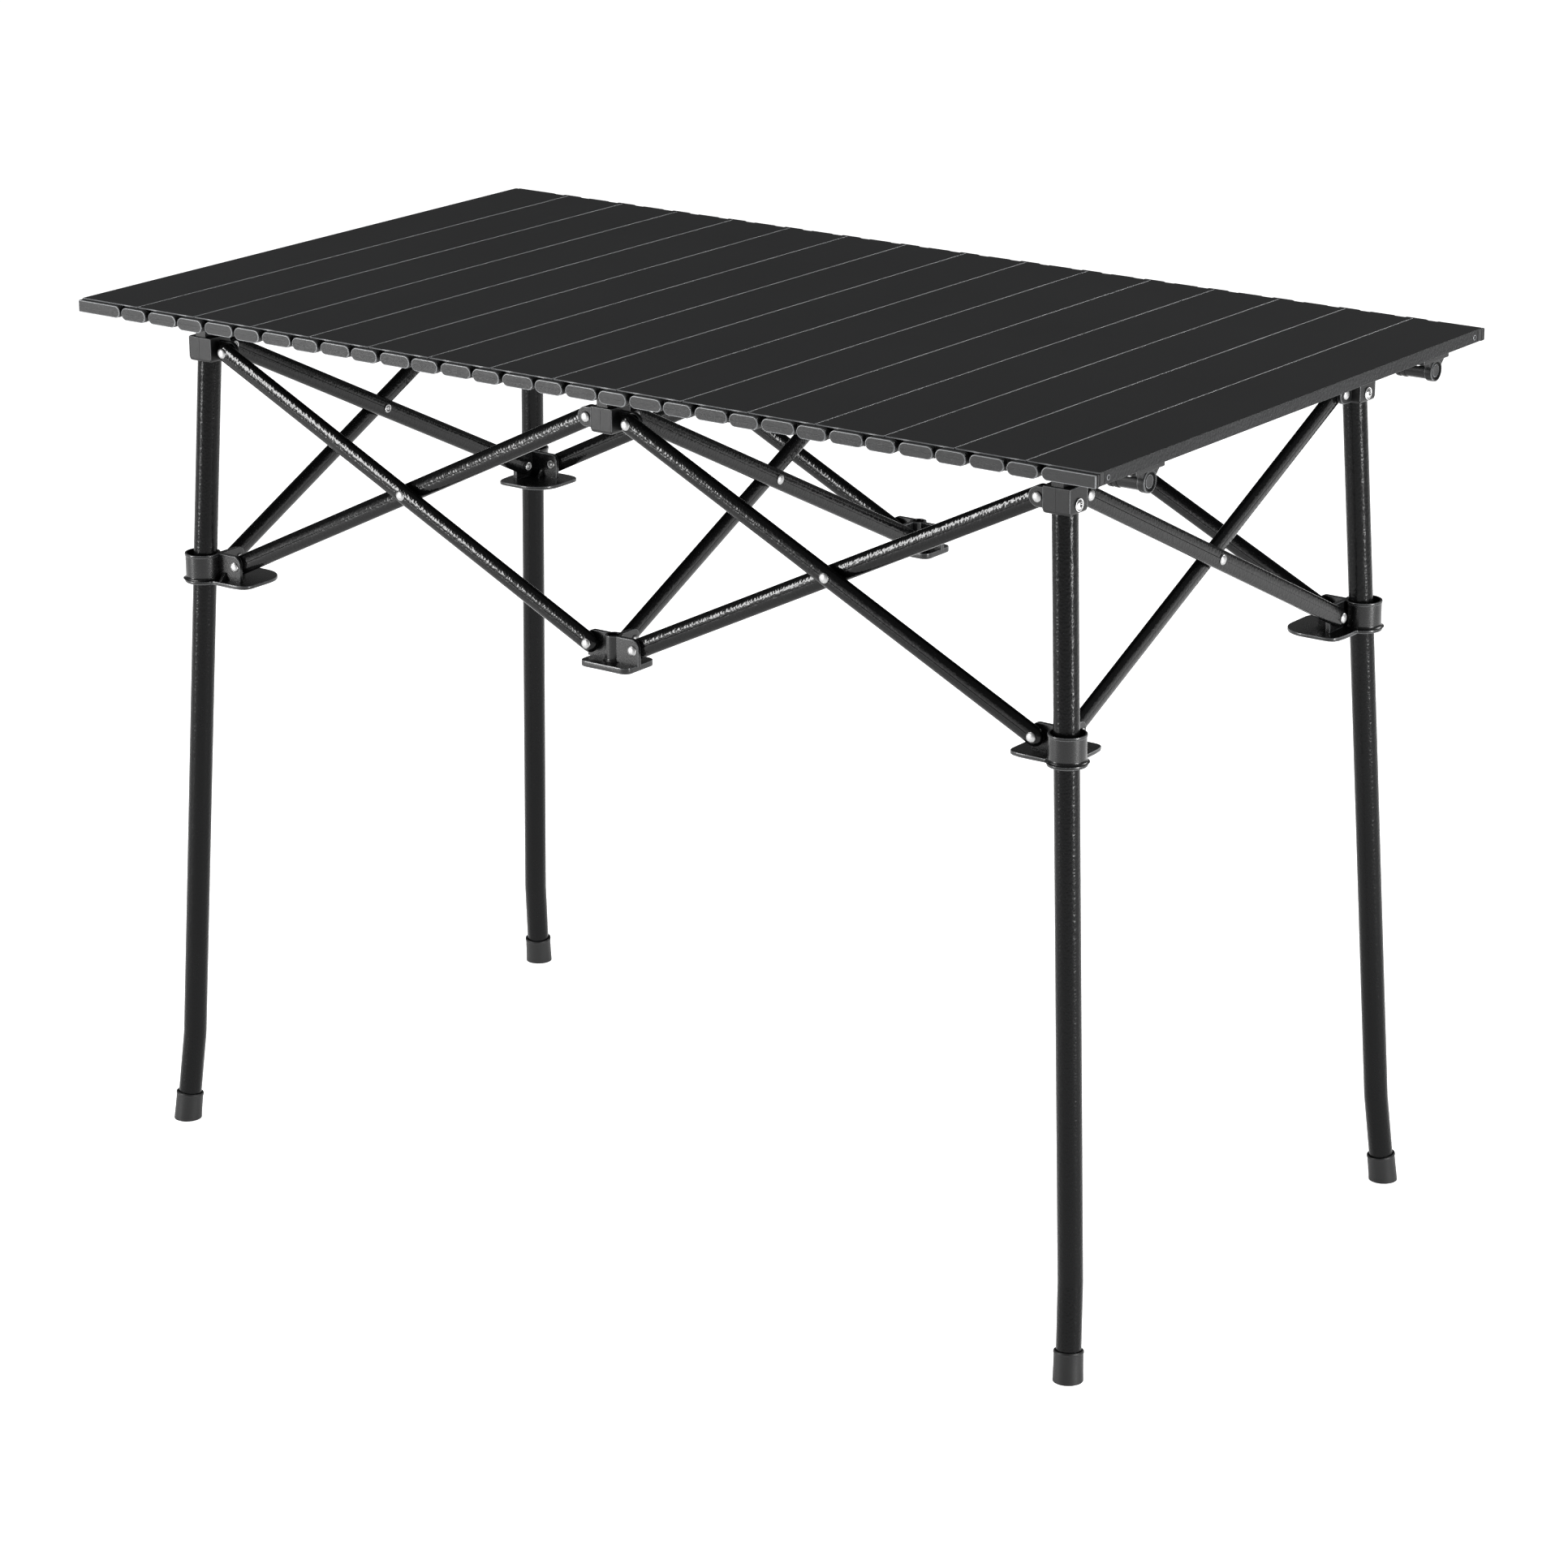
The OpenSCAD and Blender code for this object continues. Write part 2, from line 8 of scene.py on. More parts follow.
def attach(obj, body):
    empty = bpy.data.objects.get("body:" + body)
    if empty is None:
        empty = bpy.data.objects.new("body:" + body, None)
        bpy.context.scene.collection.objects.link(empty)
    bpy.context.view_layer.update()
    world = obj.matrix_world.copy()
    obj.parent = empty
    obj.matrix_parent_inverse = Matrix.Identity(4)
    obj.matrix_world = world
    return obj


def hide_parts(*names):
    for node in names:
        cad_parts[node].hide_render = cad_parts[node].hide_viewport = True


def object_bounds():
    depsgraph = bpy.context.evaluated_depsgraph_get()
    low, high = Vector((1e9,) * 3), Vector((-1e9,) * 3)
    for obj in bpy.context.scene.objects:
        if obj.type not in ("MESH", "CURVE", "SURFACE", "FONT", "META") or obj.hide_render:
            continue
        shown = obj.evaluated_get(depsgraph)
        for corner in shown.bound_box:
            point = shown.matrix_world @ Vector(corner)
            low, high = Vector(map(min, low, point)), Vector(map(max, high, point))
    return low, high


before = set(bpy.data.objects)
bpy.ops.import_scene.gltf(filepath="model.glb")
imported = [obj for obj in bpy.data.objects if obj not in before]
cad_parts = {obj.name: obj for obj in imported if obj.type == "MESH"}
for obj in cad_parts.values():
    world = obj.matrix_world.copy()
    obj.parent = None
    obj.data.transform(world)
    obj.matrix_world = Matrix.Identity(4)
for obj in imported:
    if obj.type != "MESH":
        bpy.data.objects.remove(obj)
CAD_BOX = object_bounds()

# ---------------------------------------------------------------- sizes, in millimetres
LENGTH, DEPTH, HEIGHT = [round(1000 * (hi - lo), 3) for lo, hi in zip(*CAD_BOX)]
SLATS = 16
PITCH = LENGTH / SLATS
SLAT_HALF = DEPTH / 2 - 6
HUB_X, HUB_Y = 404.0, 202.0
PIVOT = 20.5
UPPER, LOWER = 654.0, 478.0
SPAN, DROP = HUB_X - 2 * PIVOT, UPPER - LOWER
BAR_LENGTH = math.hypot(SPAN, DROP)
BAR_ANGLE = math.atan2(DROP, SPAN)
BAR_HALF, BAR_THICK, CROWN = 7.75, 8.0, 2.3
EAR, LAYER = 4.0, 0.2
ROD_Z, ROD_R = 677.5, 6.35
BOX_BOTTOM = HEIGHT - 10.0
SHEET, EDGE_GAP, BOX_HALF = 0.9, 0.4, 13.5
BOX_CAP_WIDE, BOX_CAP_HIGH = 28.8, 9.6
RAIL_CAP_WIDE, RAIL_CAP_HIGH = 25.5, 10.0
RAIL_WIDE, RAIL_HIGH = 24.9, 9.2
HUB_LOW, HUB_TOP, HUB_DEEP, MID_HUB_HALF = 645, 665, 11.5, 10.0
SADDLE_HALF, SADDLE_DEPTH, EAR_R = 10, 3.5, 7.7
COLLAR_LOW, COLLAR_PLATE, COLLAR_TOP = 463, 466, 487
COLLAR_R, COLLAR_BORE = 14.0, 12.6
BRACKET_START, BRACKET_END, BRACKET_HALF, BRACKET_THICK = 436, 474, 20, 3
BRACKET_SCREW_X, BRACKET_SCREW_Y = (444, 466), 15
RING_COLLARS, WEB_START = (442, 447), 446
CLIP_START, CLIP_END = -472, -446
PIN_R = 2.5
LEG_R, LEG_WALL, BEND_R = 9.5, 1.2, 90.0
SCREW_Z = 652.0
SPREAD_X, SPREAD_Y, BEND_Z = 28.5, 22.0, 74.0
LEG_RISE = SCREW_Z - BEND_Z
LEG_SPREAD = math.hypot(SPREAD_X, SPREAD_Y)
LEG_AZIMUTH = math.atan2(SPREAD_Y, SPREAD_X)
LEG_TILT = math.atan2(LEG_SPREAD, LEG_RISE)
LEG_LENGTH = math.hypot(LEG_RISE, LEG_SPREAD)
BEND, BEND_AZIMUTH = math.radians(4.3), math.radians(43.5)
FOOT_LENGTH = 74.6
COLLAR_SHIFT = 12.7

# ---------------------------------------------------------------- materials


def nodes_of(name, base, roughness, metallic=0.0, specular=0.5):
    mat = bpy.data.materials.new(name)
    mat.use_nodes = True
    tree = mat.node_tree
    shader = tree.nodes["Principled BSDF"]
    shader.inputs["Base Color"].default_value = (*base, 1)
    shader.inputs["Roughness"].default_value = roughness
    shader.inputs["Metallic"].default_value = metallic
    shader.inputs["Specular IOR Level"].default_value = specular
    coords = tree.nodes.new("ShaderNodeTexCoord")
    return mat, tree, shader, coords.outputs["Object"]


def noise(tree, coords, scale, detail=2.0, stretch=None):
    if stretch:
        mapping = tree.nodes.new("ShaderNodeMapping")
        mapping.inputs["Scale"].default_value = stretch
        tree.links.new(coords, mapping.inputs["Vector"])
        coords = mapping.outputs["Vector"]
    tex = tree.nodes.new("ShaderNodeTexNoise")
    tex.inputs["Scale"].default_value = scale
    tex.inputs["Detail"].default_value = detail
    tree.links.new(coords, tex.inputs["Vector"])
    return tex.outputs["Fac"]


def cells(tree, coords, scale, smooth=0.6):
    tex = tree.nodes.new("ShaderNodeTexVoronoi")
    tex.feature = "SMOOTH_F1"
    tex.inputs["Scale"].default_value = scale
    tex.inputs["Smoothness"].default_value = smooth
    tree.links.new(coords, tex.inputs["Vector"])
    return tex.outputs["Distance"]


def spread(tree, value, low, high, start=0.3, end=0.7):
    """value from start to end becomes a number from low to high."""
    node = tree.nodes.new("ShaderNodeMapRange")
    node.inputs["From Min"].default_value = start
    node.inputs["From Max"].default_value = end
    node.inputs["To Min"].default_value = low
    node.inputs["To Max"].default_value = high
    tree.links.new(value, node.inputs["Value"])
    return node.outputs["Result"]


def tint(tree, shader, value, dark, light, start=0.3, end=0.7):
    ramp = tree.nodes.new("ShaderNodeValToRGB")
    ramp.color_ramp.elements[0].position = start
    ramp.color_ramp.elements[1].position = end
    ramp.color_ramp.elements[0].color = (*dark, 1)
    ramp.color_ramp.elements[1].color = (*light, 1)
    tree.links.new(value, ramp.inputs["Fac"])
    tree.links.new(ramp.outputs["Color"], shader.inputs["Base Color"])


def bump(tree, shader, value, depth_mm, strength=1.0, before=None):
    node = tree.nodes.new("ShaderNodeBump")
    node.inputs["Strength"].default_value = strength
    node.inputs["Distance"].default_value = depth_mm * 0.001
    tree.links.new(value, node.inputs["Height"])
    if before:
        tree.links.new(before, node.inputs["Normal"])
    tree.links.new(node.outputs["Normal"], shader.inputs["Normal"])
    return node.outputs["Normal"]


def grey(level, warm=0.0):
    """A linear colour, a touch blue like the black coats of the table."""
    return (level * (0.965 + warm), level * (1.0 + warm / 2), level * 1.045)


def coat(name, level, roughness, grain, depth, vary=0.12, specular=0.5, cell=0.0, cell_depth=0.0):
    """A painted or moulded surface: a slow change of tone, fine grain, and cells of a hammered coat."""
    mat, tree, shader, coords = nodes_of(name, grey(level), roughness, specular=specular)
    slow = noise(tree, coords, 9.0, 3.0)
    tint(tree, shader, slow, grey(level * (1 - vary)), grey(level * (1 + vary)))
    fine = noise(tree, coords, grain, 2.0)
    tree.links.new(spread(tree, fine, roughness * 0.86, roughness * 1.14), shader.inputs["Roughness"])
    last = bump(tree, shader, fine, depth)
    if cell:
        bump(tree, shader, cells(tree, coords, cell), cell_depth, before=last)
    return mat


SLAT_COAT = coat("slat_coat", 0.012, 0.55, grain=1500.0, depth=0.015, vary=0.07, specular=0.2)
# painted highlight: a light tone on the sheets' right edges and ends, standing in for light caught by their
# rounded edges
SLAT_EDGE_HIGHLIGHT = coat("slat_edge_painted_highlight", 0.16, 0.38, grain=1500.0, depth=0.01, vary=0.12, specular=0.5)
SLAT_END = coat("slat_end_grain", 0.010, 0.5, grain=800.0, depth=0.2, vary=0.2,
                specular=0.16, cell=430.0, cell_depth=0.3)
CAP = coat("cap_plastic", 0.010, 0.5, grain=1300.0, depth=0.02, vary=0.06, specular=0.3)
# painted highlight: a light tone for the caps' rounded rims and the rod plugs' face rims; the end-face buttons
# take the same tone
CAP_EDGE = coat("cap_bevel", 0.13, 0.38, grain=1300.0, depth=0.01, vary=0.06, specular=0.6)
SEAM = coat("seam_shadow", 0.002, 0.7, grain=900.0, depth=0.01, vary=0.1, specular=0.1)
ROD = coat("rod_coat", 0.01, 0.34, grain=1100.0, depth=0.02, vary=0.10, specular=0.35)
LEG = coat("leg_powder_coat", 0.003, 0.22, grain=650.0, depth=0.03, vary=0.10,
           specular=0.11, cell=500.0, cell_depth=0.16)
BAR = coat("bar_hammered_coat", 0.002, 0.13, grain=600.0, depth=0.02, vary=0.10,
           specular=0.2, cell=480.0, cell_depth=0.12)
HUB = coat("hub_plastic", 0.004, 0.42, grain=1200.0, depth=0.03, vary=0.08, specular=0.25)
# painted highlight: a light tone on the rounded edges of hubs and ring brackets
HUB_EDGE_HIGHLIGHT = coat("hub_edge_painted_highlight", 0.045, 0.35, grain=1200.0, depth=0.01, vary=0.10, specular=0.5)
COLLAR = coat("collar_plastic", 0.004, 0.28, grain=1200.0, depth=0.02, vary=0.10, specular=0.35)
# painted highlight: a light tone on the rounded edges of collars and lower hubs
COLLAR_EDGE_HIGHLIGHT = coat("collar_edge_painted_highlight", 0.045, 0.3, grain=1200.0, depth=0.01, vary=0.10, specular=0.5)
BRACKET = coat("bracket_plastic", 0.004, 0.36, grain=1200.0, depth=0.03, vary=0.08, specular=0.25)
PLUG = coat("plug_plastic", 0.01, 0.45, grain=1200.0, depth=0.02, vary=0.08, specular=0.35)
RUBBER = coat("foot_rubber", 0.004, 0.5, grain=1000.0, depth=0.05, vary=0.15, specular=0.3)


def bright_metal(name, level, roughness):
    mat, tree, shader, coords = nodes_of(name, (level, level, level * 1.01), roughness, metallic=1.0)
    scratch = noise(tree, coords, 900.0, 3.0, (1.0, 1.0, 6.0))
    tint(tree, shader, noise(tree, coords, 300.0), (level * 0.86,) * 3, (level * 1.04,) * 3)
    tree.links.new(spread(tree, scratch, roughness * 0.7, roughness * 1.5), shader.inputs["Roughness"])
    bump(tree, shader, scratch, 0.01)
    return mat


RIVET = bright_metal("rivet_steel", 0.40, 0.40)
SCREW = bright_metal("screw_steel", 0.8, 0.22)
# painted shade: darker metal in the grooves of rivet tails and in screw recesses
RECESS_SHADE = bright_metal("rivet_recess_painted_shade", 0.16, 0.4)

# ---------------------------------------------------------------- outlines


def rounded(corners, step=12):
    """A closed outline from corners (x, y, radius), counter-clockwise."""
    out = []
    for k, (x, y, r) in enumerate(corners):
        p, a, b = Vector((x, y)), Vector(corners[k - 1][:2]), Vector(corners[(k + 1) % len(corners)][:2])
        u, v = (a - p).normalized(), (b - p).normalized()
        turn = math.pi - math.acos(max(-1, min(1, u.dot(v))))
        if r <= 0 or turn < 1e-3:
            out.append((x, y))
            continue
        reach = r * math.tan(turn / 2)
        centre = p + (u + v).normalized() * (r / math.cos(turn / 2))
        start = p + u * reach - centre
        sign = 1 if u.cross(v) < 0 else -1
        steps = max(2, math.ceil(math.degrees(turn) / step))
        for s in range(steps + 1):
            angle = sign * turn * s / steps
            c, n = math.cos(angle), math.sin(angle)
            out.append((centre.x + start.x * c - start.y * n, centre.y + start.x * n + start.y * c))
    return out


def rect(x0, y0, x1, y1, r, step=12):
    return rounded([(x0, y0, r), (x1, y0, r), (x1, y1, r), (x0, y1, r)], step)


def stadium(x, y, w, h, step=10):
    return rect(x - w / 2, y - h / 2, x + w / 2, y + h / 2, min(w, h) / 2 - 1e-3, step)


def inset(outline, d):
    """The outline moved inwards by d along its corners' bisectors."""
    out, n = [], len(outline)
    for k in range(n):
        a, p, b = Vector(outline[k - 1]), Vector(outline[k]), Vector(outline[(k + 1) % n])
        u, v = (p - a).normalized(), (b - p).normalized()
        nu, nv = Vector((-u.y, u.x)), Vector((-v.y, v.x))
        m = (nu + nv).normalized()
        out.append(tuple(p + m * (d / max(0.35, m.dot(nu)))))
    return out


XZ = Matrix(((1, 0, 0, 0), (0, 0, 1, 0), (0, 1, 0, 0), (0, 0, 0, 1)))
YZ = Matrix(((0, 0, 1, 0), (1, 0, 0, 0), (0, 1, 0, 0), (0, 0, 0, 1)))
HERE = Matrix.Identity(4)


def move(x, y, z):
    return Matrix.Translation((x, y, z))


def turn(degrees, axis):
    return Matrix.Rotation(math.radians(degrees), 4, axis)


# ---------------------------------------------------------------- pieces


class Piece:
    """One Blender object that stands for a CAD node, gathered from several closed shells."""

    def __init__(self, node, body, slot):
        self.node, self.body, self.slot = node, body, slot
        self.bm, self.mats = bmesh.new(), []

    def shell(self, rings, mat, at=HERE, loop=False, caps=True, mats=None):
        """Rings of equal length joined in order. loop joins the last to the first."""
        if mat not in self.mats:
            self.mats.append(mat)
        index, flip = self.mats.index(mat), at.determinant() < 0
        made = [[self.bm.verts.new(at @ Vector(p)) for p in ring] for ring in rings]
        n, faces = len(made[0]), []
        for k in range(len(made) if loop else len(made) - 1):
            low, high = made[k], made[(k + 1) % len(made)]
            other = mats.get(k) if mats else None
            if other and other not in self.mats:
                self.mats.append(other)
            for i in range(n):
                j = (i + 1) % n
                faces.append(((low[i], low[j], high[j], high[i]), self.mats.index(other) if other else index))
        if caps and not loop:
            faces.append((tuple(reversed(made[0])), index))
            faces.append((tuple(made[-1]), index))
        for verts, which in faces:
            face = self.bm.faces.new(tuple(reversed(verts)) if flip else verts)
            face.material_index, face.smooth = which, True

    def prism(self, outline, z0, z1, mat, at=HERE, low=0.0, high=None, steps=3, edge=None):
        """outline extruded from z0 to z1 with rounded rims of radius low and high."""
        high = low if high is None else high
        rings = []

        def rim(radius, z, way):
            for s in range(steps + 1) if radius > 0 else [steps]:
                a = math.pi / 2 * s / steps
                rings.append((radius * (1 - math.sin(a)), z + way * radius * (1 - math.cos(a))))

        rim(low, z0, 1)
        split = len(rings)
        rim(high, z1, -1)
        rings[split:] = rings[split:][::-1]
        loops = []
        for d, z in rings:
            loops.append([(x, y, z) for x, y in (inset(outline, d) if d > 1e-6 else outline)])
        mats = {k: edge for k in range(len(loops) - 1) if k != split - 1} if edge else None
        self.shell(loops, mat, at, mats=mats)

    def turned(self, profile, mat, at=HERE, seg=40, loop=False, mats=None):
        """A profile of (radius, z), from bottom to top, turned round the Z axis."""
        rings = []
        for r, z in profile:
            r = max(r, 0.02)
            rings.append([(r * math.cos(t), r * math.sin(t), z)
                          for t in (2 * math.pi * k / seg for k in range(seg))])
        self.shell(rings, mat, at, loop=loop, mats=mats)

    def tube(self, r_out, r_in, z0, z1, mat, at=HERE, rim=0.4, seg=40, edge=None):
        w = min(rim, (r_out - r_in) / 2.01)
        c = w * 0.3
        outside = [(r_out - w, z0), (r_out - c, z0 + c), (r_out, z0 + w),
                   (r_out, z1 - w), (r_out - c, z1 - c), (r_out - w, z1)]
        inside = [(r_in + w, z1), (r_in + c, z1 - c), (r_in, z1 - w),
                  (r_in, z0 + w), (r_in + c, z0 + c), (r_in + w, z0)]
        self.turned(outside + inside, mat, at, seg, loop=True,
                    mats={k: edge for k in (0, 1, 3, 4)} if edge else None)

    def put(self, *more_nodes, sharp=38):
        bmesh.ops.scale(self.bm, vec=(0.001,) * 3, verts=self.bm.verts)
        bmesh.ops.recalc_face_normals(self.bm, faces=self.bm.faces)
        mesh = bpy.data.meshes.new(self.node)
        self.bm.to_mesh(mesh)
        self.bm.free()
        mesh.set_sharp_from_angle(angle=math.radians(sharp))
        obj = bpy.data.objects.new("look_" + self.node, mesh)
        bpy.context.scene.collection.objects.link(obj)
        for mat in self.mats:
            mesh.materials.append(mat)
        normals = obj.modifiers.new("normals", "WEIGHTED_NORMAL")
        normals.keep_sharp = True
        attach(obj, self.body)
        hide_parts(self.node, *more_nodes)


# ---------------------------------------------------------------- fasteners


def dome(piece, at, radius=4.1, height=2.0):
    """A rivet's domed head, its foot on z = 0."""
    profile = [(0.4, 0.0), (radius - 0.15, 0.0), (radius, 0.22)]
    for s in range(1, 9):
        a = math.pi / 2 * s / 8
        profile.append((radius * math.cos(a), 0.22 + (height - 0.22) * math.sin(a)))
    piece.turned(profile, RIVET, at, 36)


def tail(piece, at):
    """A rivet's set end: a rolled ring round a sunk button."""
    profile = [(0.4, 0.0), (3.4, 0.0), (3.7, 0.35), (3.55, 0.85), (3.0, 1.15), (2.4, 1.0), (2.15, 0.45),
               (1.75, 0.4), (1.5, 0.85), (0.9, 1.0), (0.05, 1.02)]
    # painted shade: the groove between the ring and the button is darker metal
    piece.turned(profile, RIVET, at, 36, mats={5: RECESS_SHADE, 6: RECESS_SHADE})


def pan_head(piece, at, radius=3.7, height=2.2):
    """A washer and a domed head with a cross recess, standing on z = 0."""
    piece.tube(4.9, 4.0, 0.0, 0.9, SCREW, at, 0.35, 44)
    # painted shade: a dark disc between the washer and the head
    piece.turned([(0.1, 0.1), (4.05, 0.1), (4.05, 0.25), (0.1, 0.25)], RECESS_SHADE, at, 40)
    rings, seg = [], 64
    for s in range(19):
        part = s / 18
        r = max(0.02, radius * math.cos(math.pi / 2 * part ** 0.85)) if s else radius
        z = 0.25 + (height - 0.25) * math.sin(math.pi / 2 * part ** 0.85)
        ring = []
        for k in range(seg):
            a = 2 * math.pi * k / seg
            x, y = r * math.cos(a), r * math.sin(a)
            across = max(0.0, min(1.0, (0.62 - min(abs(x), abs(y))) / 0.2))
            deep = across * max(0.0, min(1.0, (2.1 - r) / 0.5))
            ring.append((x, y, z - 1.05 * deep))
        rings.append(ring)
    rings.insert(0, [(x, y, 0.2) for x, y, _ in rings[0]])
    # painted shade: the cross recess is darker metal
    piece.shell(rings, SCREW, at, mats={k: RECESS_SHADE for k in range(13, 20)})


# ---------------------------------------------------------------- the top

CAP_SEAM = 2.7


def end_cap(piece, outline, y1, side):
    """A moulded cap from the slat's end out to y1: a collar, a groove, then the face plate."""
    y0 = SLAT_HALF + 0.05
    rings = [(0.6, y0), (0.25, y0 + 0.3), (0.0, y0 + 0.45),
             (0.0, y0 + CAP_SEAM - 0.35), (0.55, y0 + CAP_SEAM), (0.0, y0 + CAP_SEAM + 0.35),
             (0.0, y1 - 0.7), (0.2, y1 - 0.2), (0.7, y1)]
    loops = [[(x, z, y) for x, z in inset(outline, d)] for d, y in rings]
    at = Matrix.Diagonal((1, side, 1, 1)) @ XZ
    # the groove takes the painted shade tone and the face plate's rounded rim the painted highlight tone
    piece.shell(loops, CAP, at, mats={3: SEAM, 4: SEAM, 6: CAP_EDGE, 7: CAP_EDGE})


def slat(i):
    node = f"slat_{i:02d}"
    piece = Piece(node, node, "slat")
    left = -LENGTH / 2 + (i - 1) * PITCH
    right, xc = left + PITCH, left + PITCH / 2
    x0 = left if i == 1 else left + EDGE_GAP
    x1 = right if i == SLATS else right - EDGE_GAP
    end_box = PITCH - RAIL_CAP_WIDE / 2 - (PITCH - RAIL_CAP_WIDE - BOX_CAP_WIDE) / 2 - 1
    b0, b1 = xc - BOX_HALF, xc + BOX_HALF
    if i == 1:
        b0, b1 = left, left + end_box
    if i == SLATS:
        b0, b1 = right - end_box, right
    top, under, foot = HEIGHT, HEIGHT - SHEET, BOX_BOTTOM
    corner = 0.42
    lower_left = [] if i == 1 else [(x0, under, 0.3), (b0, under, 0.3)]
    lower_right = [] if i == SLATS else [(b1, under, 0.3), (x1, under, 0.3)]
    outline = [(x0, top, corner)] + lower_left + [(b0, foot, 0.9), (b1, foot, 0.9)] + lower_right
    outline += [(x1, top, corner)]
    piece.prism(rounded(outline, 18), -SLAT_HALF, SLAT_HALF, SLAT_COAT, XZ, 0.0)
    # painted highlight: a light strip along the sheet's right edge and at its two ends stands in for light
    # caught by the rounded edges
    if i < SLATS:
        bead = rect(x1 - 0.95, top - 0.8, x1 + 0.04, top + 0.03, 0.4, 18)
        piece.prism(bead, -SLAT_HALF, SLAT_HALF, SLAT_EDGE_HIGHLIGHT, XZ)
    for side in (-1, 1):
        y0, y1 = sorted((side * (SLAT_HALF - 0.5), side * (SLAT_HALF + 0.04)))
        piece.prism(rect(x0 + 0.02, under + 0.02, x1 - 0.02, top - 0.02, 0.3, 30), y0, y1, SLAT_EDGE_HIGHLIGHT, XZ)
    cap_half = BOX_CAP_HIGH / 2
    middle = BOX_BOTTOM - 0.4 + cap_half
    for side in (-1, 1):
        if 1 < i < SLATS:
            end_cap(piece, stadium(xc, middle, BOX_CAP_WIDE, BOX_CAP_HIGH), DEPTH / 2 - 0.8, side)
        else:
            sign = 1 if i == SLATS else -1
            near, far = sign * (LENGTH / 2 - end_box - 1), sign * LENGTH / 2
            corners = [(near, middle - cap_half, 4.79), (far, middle - cap_half, 0.9),
                       (far, middle + cap_half, 0.9), (near, middle + cap_half, 4.79)]
            end_cap(piece, rounded(corners if sign > 0 else corners[::-1], 10), DEPTH / 2 - 0.8, side)
        if i > 1:
            rail_cap = stadium(left, BOX_BOTTOM - 0.8 + RAIL_CAP_HIGH / 2, RAIL_CAP_WIDE, RAIL_CAP_HIGH)
            end_cap(piece, rail_cap, DEPTH / 2, side)
    if i > 1:
        rail = stadium(left, BOX_BOTTOM - 0.6 + RAIL_HIGH / 2, RAIL_WIDE, RAIL_HIGH)
        piece.prism(rail, -SLAT_HALF, SLAT_HALF, SLAT_COAT, XZ)
    if i in (1, SLATS):
        sign = 1 if i == SLATS else -1
        face = sign * LENGTH / 2
        # the end face is grained between two smooth corner pieces, each with a seam on both sides
        at = move(face, 0, 0) @ Matrix.Diagonal((sign, 1, 1, 1)) @ YZ
        low, high, corner_at = foot + 0.75, top - 0.5, SLAT_HALF - 6
        piece.prism(rect(-corner_at, low, corner_at, high, 0.3), -0.2, 0.02, SLAT_END, at)
        strips = ((corner_at, 0.7, SEAM), (SLAT_HALF + 0.1, 0.7, SEAM), (SLAT_HALF - 3, 5.0, CAP))
        for side in (-1, 1):
            for y, width, mat in strips:
                strip = rect(side * y - width / 2, low, side * y + width / 2, high, 0.2)
                piece.prism(strip, -0.2, 0.05, mat, at)
        for side in (-1, 1):
            spot = at @ move(side * (SLAT_HALF - 11), foot + 4.6, 0.0)
            button = [(1.0, -0.1), (2.1, -0.1), (2.1, 0.02), (1.9, 0.18), (1.5, 0.2), (1.3, 0.05),
                      (0.9, 0.0), (0.05, 0.02)]
            piece.turned(button, CAP_EDGE, spot, 28, mats={4: SEAM, 5: SEAM})
    piece.put(sharp=32)


for number in range(1, SLATS + 1):
    slat(number)

# ---------------------------------------------------------------- rods and their holders

ROD_END = LENGTH / 2 - 2
ALONG_X = turn(90, "Y")

for name, side in (("front", -1), ("back", 1)):
    rod = Piece("support_rod_" + name, "slat_16", "rod")
    rod.tube(ROD_R, ROD_R - 1.0, -ROD_END, ROD_END, ROD, move(0, side * HUB_Y, ROD_Z) @ ALONG_X, 0.3, 44)
    rod.put()

plugs = Piece("rod_end_plugs", "slat_16", "plug")
plug = [(0.1, -8.0), (5.25, -8.0), (5.3, -0.5), (5.05, 0.0), (4.5, 0.15), (4.1, 0.0), (3.9, -0.12),
        (0.05, -0.1)]
plug_seam = [(5.0, -0.2), (6.3, -0.2), (6.3, 0.16), (5.0, 0.16)]
for side in (-1, 1):
    for end in (-1, 1):
        outwards = turn(90 * end, "Y")
        # the plug's face rim is a painted highlight; the thin ring around it takes the painted shade tone
        plugs.turned(plug, PLUG, move(end * (ROD_END - 0.1), side * HUB_Y, ROD_Z) @ outwards, 36,
                     mats={3: CAP_EDGE})
        plugs.turned(plug_seam, SEAM, move(end * ROD_END, side * HUB_Y, ROD_Z) @ outwards, 36, loop=True)
plugs.put()


def mounting_plate(piece, x0, x1, side):
    """The plate that holds a rod's bracket or clip to the underside of an end slat."""
    piece.prism(rect(x0, -BRACKET_HALF, x1, BRACKET_HALF, 3.0), BOX_BOTTOM - BRACKET_THICK, BOX_BOTTOM, BRACKET,
                move(0, side * HUB_Y, 0), 0.5, 0.2)


